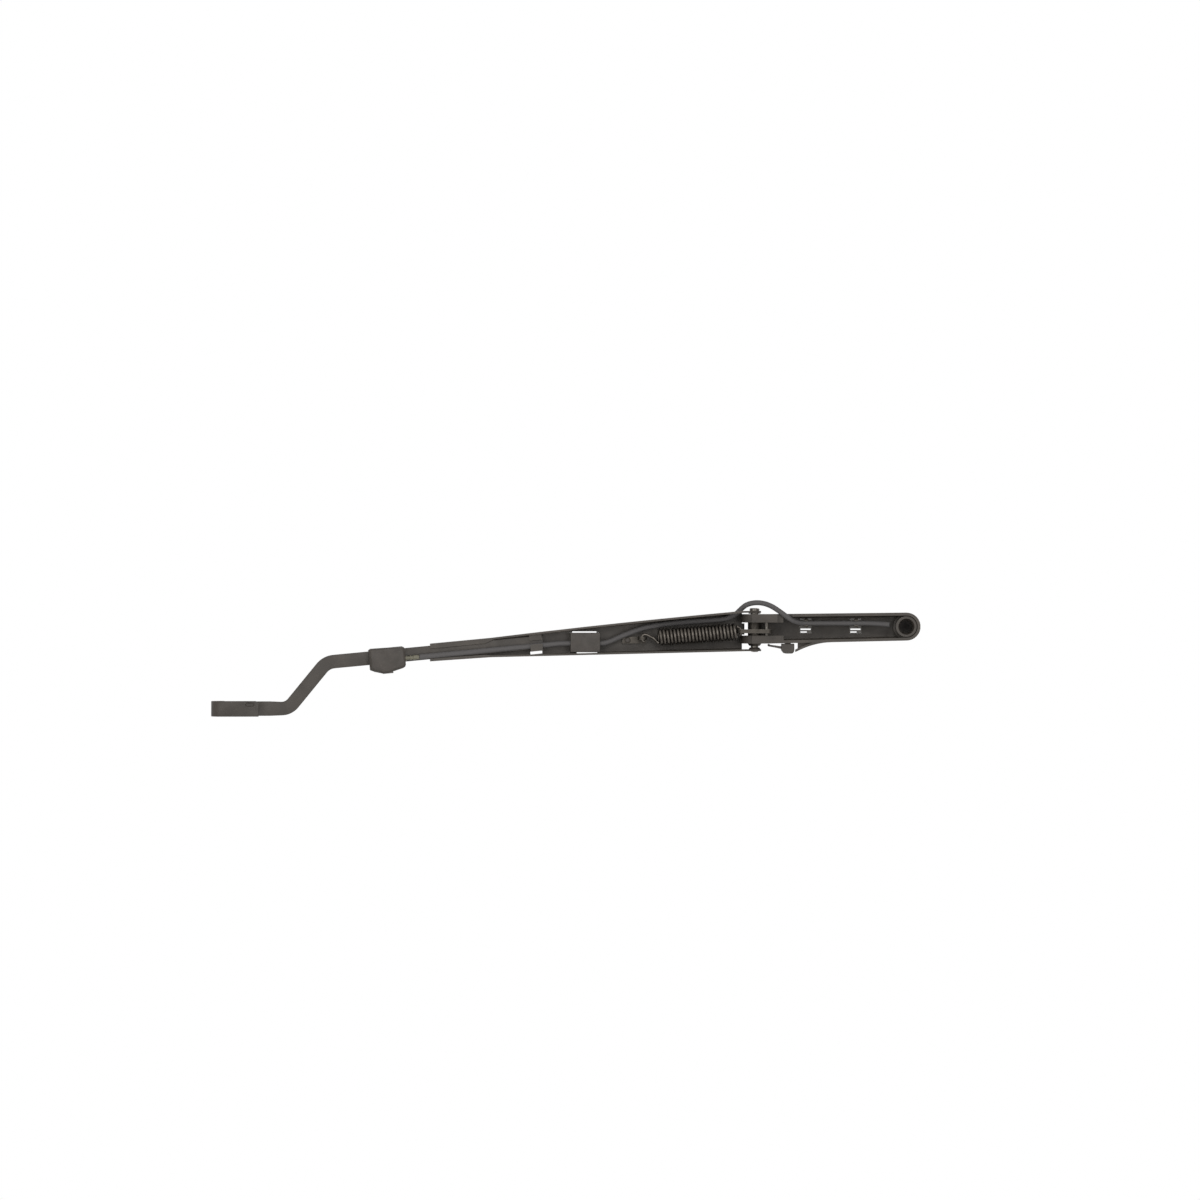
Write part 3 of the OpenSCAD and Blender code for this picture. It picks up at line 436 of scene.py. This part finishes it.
def round_edges(node: bpy.types.Object, finish: Finish, body: str, width_mm: float,
                angle_deg: float = 32.0) -> bpy.types.Object:
    """Puts a copy with rounded edges in the place of a CAD node.

    Args:
        node: The CAD node's object.
        finish: What it is made of.
        body: Body that the piece moves with.
        width_mm: Width of the rounding.
        angle_deg: Edges sharper than this are rounded.

    Returns:
        The rounded piece, with its mesh at its place.
    """
    name = node.name + "_rounded"
    work = bmesh.new()
    work.from_mesh(node.data)
    bmesh.ops.remove_doubles(work, verts=work.verts, dist=CAD_JOIN_MM * MM)
    bmesh.ops.dissolve_limit(work, angle_limit=math.radians(FLAT_DEG), verts=work.verts,
                             edges=work.edges, delimit={"NORMAL"})
    for face in work.faces:
        face.smooth = True
    mesh = bpy.data.meshes.new(name)
    work.to_mesh(mesh)
    work.free()
    piece = bpy.data.objects.new(name, mesh)
    bpy.context.scene.collection.objects.link(piece)
    bevel = piece.modifiers.new("rounding", "BEVEL")
    bevel.width = width_mm * MM
    bevel.segments = 2
    bevel.limit_method = "ANGLE"
    bevel.angle_limit = math.radians(angle_deg)
    bevel.use_clamp_overlap = False
    bevel.harden_normals = True
    graph = bpy.context.evaluated_depsgraph_get()
    rounded = bpy.data.meshes.new_from_object(piece.evaluated_get(graph))
    piece.modifiers.clear()
    piece.data = rounded
    low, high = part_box(node.name)
    for vertex in rounded.vertices:
        vertex.co = [min(max(c, a), b) for c, a, b in zip(vertex.co, low, high)]
    rounded.name = name
    rounded.materials.clear()
    rounded.materials.append(finish.material())
    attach(piece, body)
    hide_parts(node.name)
    log.info("rounded %s, %d faces", node.name, len(rounded.polygons))
    return piece


@dataclass
class Hinge:
    """Where the arm turns, and how it hangs at rest.

    Args:
        x_mm: Place of the pin along the arm.
        z_mm: Height of the pin.
        drop_deg: Angle by which the arm hangs below the head.
    """

    x_mm: float = 100.9
    z_mm: float = 3.0
    drop_deg: float = 4.0

    def dropped(self, point: Point) -> Vector:
        """Moves a point of the flat arm to its place at rest.

        Args:
            point: Place in the flat arm, in millimetres.

        Returns:
            The place at rest, in metres.
        """
        pin = Vector((self.x_mm, 0.0, self.z_mm))
        turn = Matrix.Rotation(math.radians(self.drop_deg), 3, "Y")
        return (turn @ (Vector(point) - pin) + pin) * MM


@dataclass
class MountingHead:
    """The cast head with its bush, pins, clips, cap and buffer.

    Args:
        edge_mm: Rounding of the moulded pieces' edges.
    """

    edge_mm: float = 0.35

    def build(self, nodes: dict[str, bpy.types.Object]) -> None:
        """Dresses the head's pieces.

        Args:
            nodes: CAD nodes by name.
        """
        finishes = {"mounting_head": CAST_PAINT, "hinge_bush": SINTERED, "link_pin": PLATED_STEEL,
                    "hose_clip_front": CLIP_NYLON, "hose_clip_rear": CLIP_NYLON}
        for name, finish in finishes.items():
            dress(nodes[name], finish)
        for name in ("nut_cap", "stop_buffer"):
            round_edges(nodes[name], BLACK_NYLON, "head", self.edge_mm)


@dataclass
class SpringLinkage:
    """The link and the pull spring between head and arm.

    Args:
        link_x_mm: Place of the link pin.
        link_z_mm: Height of the link pin.
        link_y_mm: Middle of the link plate across the arm.
        eye_mm: Distance from the link pin to the spring's near eye.
        wire_mm: Wire diameter.
        spring_mm: Outer diameter of the spring.
        turns: Number of coils.
        coil_mm: Length of the coiled stretch.
        lead_mm: Distance from the near loop to the first coil.
        near_loop_mm: Radius of the near loop.
        far_loop_mm: Radius of the far loop.
        hang_mm: How far the coils hang below the line of their two hooks, clear of the web.
        play_mm: How far past the middle of its eye the far hook lies while the arm is down.
        shank_mm: Length of the far hook's shank with its loop.
        anchor_y_mm: Far hook's place across the flat arm.
        anchor_z_mm: Far hook's height in the flat arm.
        turn_steps: Points on each coil.
        wire_sides: Sides of the wire's section.
    """

    link_x_mm: float = 93.0
    link_z_mm: float = -1.5
    link_y_mm: float = -3.1
    eye_mm: float = 16.642
    wire_mm: float = 1.9
    spring_mm: float = 11.6
    turns: float = 22.5
    coil_mm: float = 53.0
    lead_mm: float = 0.5
    near_loop_mm: float = 2.6
    far_loop_mm: float = 2.4
    hang_mm: float = 3.1
    play_mm: float = 0.6
    shank_mm: float = 10.3
    anchor_y_mm: float = -7.8
    anchor_z_mm: float = 2.0
    turn_steps: int = 28
    wire_sides: int = 14

    @property
    def start_mm(self) -> float:
        """Distance from the link pin to the first coil."""
        return self.eye_mm + self.near_loop_mm + self.lead_mm

    def _place(self, hinge: Hinge) -> tuple[Matrix, float]:
        """Lays the spring's own axes from the link pin to the far hook.

        Args:
            hinge: The arm's hinge.

        Returns:
            Matrix from those axes, in millimetres, to the row frame, in metres, and the distance
            from the link pin to the far hook, in millimetres.
        """
        anchor_x = self.link_x_mm + self.start_mm + self.coil_mm + self.shank_mm
        far = hinge.dropped((anchor_x, self.anchor_y_mm, self.anchor_z_mm)) / MM
        run, rise = far.x - self.link_x_mm, far.z - self.link_z_mm
        length = math.hypot(run, rise)
        side = math.atan2(self.anchor_y_mm - self.link_y_mm, length - self.eye_mm)
        tilt = -math.atan2(rise, run)
        place = (Matrix.Scale(MM, 4)
                 @ Matrix.Translation((self.link_x_mm, 0, self.link_z_mm))
                 @ Matrix.Rotation(tilt, 4, "Y")
                 @ Matrix.Translation((self.eye_mm, self.link_y_mm, 0))
                 @ Matrix.Rotation(side, 4, "Z")
                 @ Matrix.Translation((-self.eye_mm, 0, 0)))
        return place, length

    def _coil(self) -> list[Point]:
        """The coils, from the height of one hook round to the height of the other.

        Returns:
            Points on the spring's own axes, in millimetres.
        """
        mean = (self.spring_mm - self.wire_mm) / 2
        pitch = self.coil_mm / self.turns
        rise = math.asin(self.hang_mm / mean)
        spun = math.floor(self.turns) + 0.5 - rise / math.pi
        coil = []
        for i in range(round(spun * self.turn_steps) + 1):
            angle = rise + 2 * math.pi * i / self.turn_steps
            coil.append((self.start_mm + pitch * i / self.turn_steps, mean * math.cos(angle),
                         mean * math.sin(angle) - self.hang_mm))
        return coil

    def route(self, hinge: Hinge) -> list[Vector]:
        """The wire's route from hook to hook.

        Args:
            hinge: The arm's hinge.

        Returns:
            Points in the row frame, in metres.
        """
        place, length = self._place(hinge)
        near = loop(self.eye_mm + self.near_loop_mm, self.near_loop_mm, NEAR_LOOP_DEG)
        near.append((self.start_mm - 0.9, self.near_loop_mm + 0.7, 0.0))
        coil = self._coil()
        end, side, _ = coil[-1]
        # The shank runs from the side of the last coil to the line of the two hooks
        tail = [(end + 0.9, side * 0.84, 0.0), (end + 1.9, side * 0.5, 0.0),
                (end + 3.0, side * 0.18, 0.0), (end + 4.4, 0.2, 0.0)]
        tail += loop(length + self.play_mm - self.far_loop_mm, self.far_loop_mm, FAR_LOOP_DEG)
        rough = [Vector(p) for p in (*near, *coil, *tail)]
        # Only the hooks are smoothed: each takes two coil points with it, which join it to the coils
        first = smooth_route(rough[:len(near) + 2], BEND_STEPS)[:-BEND_STEPS - 1]
        wound = rough[len(near) + 1:-(len(tail) + 1)]
        last = smooth_route(rough[-(len(tail) + 2):], BEND_STEPS)[1:]
        return [place @ p for p in first + wound + last]

    def build(self, nodes: dict[str, bpy.types.Object], hinge: Hinge, sweep: Sweep) -> None:
        """Dresses the link and winds the spring.

        Args:
            nodes: CAD nodes by name.
            hinge: The arm's hinge.
            sweep: The tree that sweeps round sections.
        """
        dress(nodes["spring_link"], LINK_STEEL)
        spring = sweep.make("tension_spring_wire", self.route(hinge), self.wire_mm / 2 * MM,
                            self.wire_sides, SPRING_WIRE)
        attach(spring, "link")
        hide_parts("tension_spring")
        log.info("wound the spring with %d faces", len(spring.data.polygons))


@dataclass
class FoldingArm:
    """Channel, strip and what is fixed in them.

    Args:
        strip_edge_mm: Rounding of the rolled strip's edges.
        block_edge_mm: Rounding of the moulded holder block's edges.
    """

    strip_edge_mm: float = 0.4
    block_edge_mm: float = 0.25

    def build(self, nodes: dict[str, bpy.types.Object]) -> None:
        """Dresses the arm's pieces.

        Args:
            nodes: CAD nodes by name.
        """
        finishes = {"arm_channel": BLACK_PAINT, "hinge_pin": PLATED_STEEL,
                    "thrust_washer": PLATED_STEEL, "spring_anchor": LINK_STEEL,
                    "anchor_rivet": BLACK_PAINT}
        for name, finish in finishes.items():
            dress(nodes[name], finish)
        round_edges(nodes["arm_strip"], BLACK_PAINT, "arm", self.strip_edge_mm)
        round_edges(nodes["hose_holder"], BLACK_NYLON, "arm",
                    self.block_edge_mm)


@dataclass
class WasherLine:
    """Jet housing, nipple and hose.

    Args:
        hose_mm: Outer diameter of the hose.
        lie_mm: Height of the hose under the strip.
        clip_y_mm: Place of the hose in the head's clips across the arm.
        clip_z_mm: Height of the hose in the head's clips.
        jet_edge_mm: Rounding of the jet housing's edges.
        hose_sides: Sides of the hose's section.
        stretch_steps: Points between two points of the route.
        bend_from_mm: Where along the arm the hose starts to follow the fold; not used.
        bend_to_mm: Where it follows the arm alone; not used.
    """

    hose_mm: float = 3.4
    lie_mm: float = 3.0
    clip_y_mm: float = 2.3
    clip_z_mm: float = -1.0
    jet_edge_mm: float = 0.4
    hose_sides: int = 20
    stretch_steps: int = 6
    bend_from_mm: float = 78.0
    bend_to_mm: float = 116.0

    def route(self, hinge: Hinge) -> list[Vector]:
        """The hose's route from the nipple to the spindle boss.

        Args:
            hinge: The arm's hinge.

        Returns:
            Points in the row frame, in metres.
        """
        low, y, z = self.lie_mm, self.clip_y_mm, self.clip_z_mm
        on_arm = [
            (324.5, -20.06, low), (310, -18.7, low), (290, -16.8, low), (270, -14.9, low),
            (255, -13.5, low), (241, -12.2, low), (233, -11.4, low + 0.4), (226, -11.1, low + 0.8),
            (204, -11.1, low + 0.8), (200.5, -10.7, low + 0.8), (197, -9.6, low + 0.8),
            (193, -7.8, low + 0.9), (188, -5.6, low + 1), (180, -2.6, low + 1.4),
            (172, -0.2, low + 1.8), (160, 1.6, low + 2.2), (148, 2.8, low + 2.2),
            (136, 3.7, low + 1.6), (126, 4.4, 3.4), (120, 5.3, 2.4), (116, 6.9, 1.7),
            (113.6, 8.4, 1.4), (111.4, 10.4, 1.3), (109.3, 12.4, 1)]
        on_head = [
            (106.4, 14.4, -0.6), (102.6, 15.6, -1.4), (98, 15.86, -2.4), (93.4, 15, -3.6),
            (89.2, 13.2, -4.8), (85.6, 10.9, -5.8), (82.4, 8.6, -6.5), (79.2, 6.2, -6.4),
            (76, 4.2, -5.2), (72.6, 2.9, -3.2), (69.4, 2.4, -1.5), (66.6, y, z), (58, y, z),
            (46, y, z), (33.3, y, z), (27, y, z - 0.1), (21, y - 0.2, z - 0.6),
            (15.5, y - 0.5, z - 1.5), (11, y - 0.9, z - 2.8)]
        return [hinge.dropped(p) for p in on_arm] + [Vector(p) * MM for p in on_head]

    def build(self, nodes: dict[str, bpy.types.Object], hinge: Hinge, sweep: Sweep) -> None:
        """Dresses the jet's pieces and lays the hose.

        Args:
            nodes: CAD nodes by name.
            hinge: The arm's hinge.
            sweep: The tree that sweeps round sections.
        """
        for name in ("jet_body", "jet_clamp"):
            round_edges(nodes[name], BLACK_NYLON, "arm", self.jet_edge_mm)
        dress(nodes["jet_insert"], BLACK_NYLON)
        dress(nodes["hose_nipple"], OLIVE_NYLON)
        route = smooth_route(self.route(hinge), self.stretch_steps)
        hose = sweep.make("washer_hose_tube", route, self.hose_mm / 2 * MM, self.hose_sides,
                          HOSE_RUBBER)
        length = sum((b - a).length for a, b in zip(route, route[1:]))
        log.info("laid the hose, %.0f mm long", length / MM)
        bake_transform(hose)
        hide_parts("washer_hose")


@dataclass(frozen=True)
class Lamp:
    """One broad square lamp, aimed at the middle of the arm.

    Args:
        name: Name of the lamp.
        place: Where it hangs, in metres.
        size: Side of the lamp, in metres.
        power: Power in watts.
    """

    name: str
    place: Point
    size: float
    power: float


# Four broad lamps round the camera's axis, and two over the arm
LAMPS = [
    Lamp("under_head", (-1.2, 0.1, -2.9), 1.0, 20.0),
    Lamp("under_tip", (1.6, 0.2, -2.9), 1.0, 20.0),
    Lamp("under_high", (0.2, 1.3, -2.9), 1.0, 24.0),
    Lamp("under_low", (0.2, -1.2, -2.9), 1.0, 18.0),
    Lamp("over_high", (-0.6, 1.4, 1.8), 1.2, 22.0),
    Lamp("over_low", (1.2, -1.3, 1.5), 1.4, 14.0),
]


@dataclass
class Studio:
    """Floor, soft lights, white surroundings and the camera under the arm.

    Args:
        middle: Point at the picture's centre, in metres.
        width: Width of the field at that point, in metres.
        distance: Distance of the camera, in metres.
        floor_z: Height of the floor, in metres.
        floor_half: Half the floor's side, in metres.
        sensor_mm: Width of the camera's sensor.
        room_light: How strongly the white room lights the arm.
    """

    middle: Point = (0.2040, 0.0177, 0.0)
    width: float = 0.8
    distance: float = 4.0
    floor_z: float = -0.036
    floor_half: float = 3.0
    sensor_mm: float = 36.0
    room_light: float = 0.4

    def build(self) -> None:
        """Builds the whole studio."""
        self._camera()
        self._floor()
        self._world()
        self._lamps()
        bpy.context.scene.view_settings.view_transform = "Standard"

    def _camera(self) -> None:
        """Camera square under the arm, as in the photograph."""
        data = bpy.data.cameras.new("camera")
        data.sensor_width = self.sensor_mm
        data.lens = self.sensor_mm * self.distance / self.width
        data.clip_end = 50.0
        camera = bpy.data.objects.new("camera", data)
        bpy.context.scene.collection.objects.link(camera)
        x, y, z = self.middle
        camera.location = (x, y, z - self.distance)
        camera.rotation_euler = (0.0, math.pi, 0.0)
        bpy.context.scene.camera = camera

    def _floor(self) -> None:
        """Pale floor that is open to the camera from below and casts no shadow."""
        mesh = bpy.data.meshes.new("floor")
        half, z = self.floor_half, self.floor_z
        corners = [(-half, -half, z), (half, -half, z), (half, half, z), (-half, half, z)]
        mesh.from_pydata(corners, [], [(0, 1, 2, 3)])
        floor = bpy.data.objects.new("floor", mesh)
        bpy.context.scene.collection.objects.link(floor)
        material = bpy.data.materials.new("matt_white_board")
        material.use_nodes = True
        tree = material.node_tree
        tree.nodes.clear()
        board = add_node(tree, "ShaderNodeBsdfDiffuse", {}, {"Color": linear_rgb("#f4f3f1")})
        clear = add_node(tree, "ShaderNodeBsdfTransparent")
        side = add_node(tree, "ShaderNodeNewGeometry")
        both = add_node(tree, "ShaderNodeMixShader", {}, {
            0: side.outputs["Backfacing"], 1: board.outputs[0], 2: clear.outputs[0]})
        add_node(tree, "ShaderNodeOutputMaterial", {}, {"Surface": both.outputs[0]})
        mesh.materials.append(material)
        floor.visible_shadow = False

    def _world(self) -> None:
        """White to the camera and in reflections, softer as a light."""
        world = bpy.data.worlds.new("white_room")
        bpy.context.scene.world = world
        world.use_nodes = True
        tree = world.node_tree
        tree.nodes.clear()
        ray = add_node(tree, "ShaderNodeLightPath")
        seen = add_node(tree, "ShaderNodeMath", {"operation": "MAXIMUM"}, {
            0: ray.outputs["Is Camera Ray"], 1: ray.outputs["Is Glossy Ray"]})
        clear = add_node(tree, "ShaderNodeMath", {"operation": "MAXIMUM"}, {
            0: seen.outputs[0], 1: ray.outputs["Is Transmission Ray"]})
        level = add_node(tree, "ShaderNodeMapRange", {}, {
            "Value": clear.outputs[0], "To Min": self.room_light, "To Max": 1.0})
        back = add_node(tree, "ShaderNodeBackground", {}, {
            "Color": (1.0, 1.0, 1.0, 1.0), "Strength": level.outputs[0]})
        add_node(tree, "ShaderNodeOutputWorld", {}, {"Surface": back.outputs[0]})

    def _lamps(self) -> None:
        """Hangs the lamps."""
        aim = Vector(self.middle)
        for lamp in LAMPS:
            data = bpy.data.lights.new(lamp.name, "AREA")
            data.shape = "SQUARE"
            data.size = lamp.size
            data.energy = lamp.power
            hung = bpy.data.objects.new(lamp.name, data)
            bpy.context.scene.collection.objects.link(hung)
            hung.location = lamp.place
            hung.rotation_euler = (aim - Vector(lamp.place)).to_track_quat("-Z", "Y").to_euler()


def main() -> None:
    """Builds the arm's looks and the studio, in order."""
    logging.basicConfig(level=logging.INFO, format="%(name)s: %(message)s")
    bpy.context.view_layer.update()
    nodes = frame["nodes"]
    hinge = Hinge()
    sweep = Sweep()
    Studio().build()
    WasherLine().build(nodes, hinge, sweep)
    SpringLinkage().build(nodes, hinge, sweep)
    MountingHead().build(nodes)
    FoldingArm().build(nodes)


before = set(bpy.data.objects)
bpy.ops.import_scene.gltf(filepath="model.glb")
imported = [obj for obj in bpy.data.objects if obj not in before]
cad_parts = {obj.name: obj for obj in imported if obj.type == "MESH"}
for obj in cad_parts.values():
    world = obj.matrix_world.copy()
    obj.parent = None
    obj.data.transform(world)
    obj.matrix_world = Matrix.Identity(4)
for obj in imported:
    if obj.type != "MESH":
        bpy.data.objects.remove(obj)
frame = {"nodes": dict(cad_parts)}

if __name__ == "__main__":
    main()
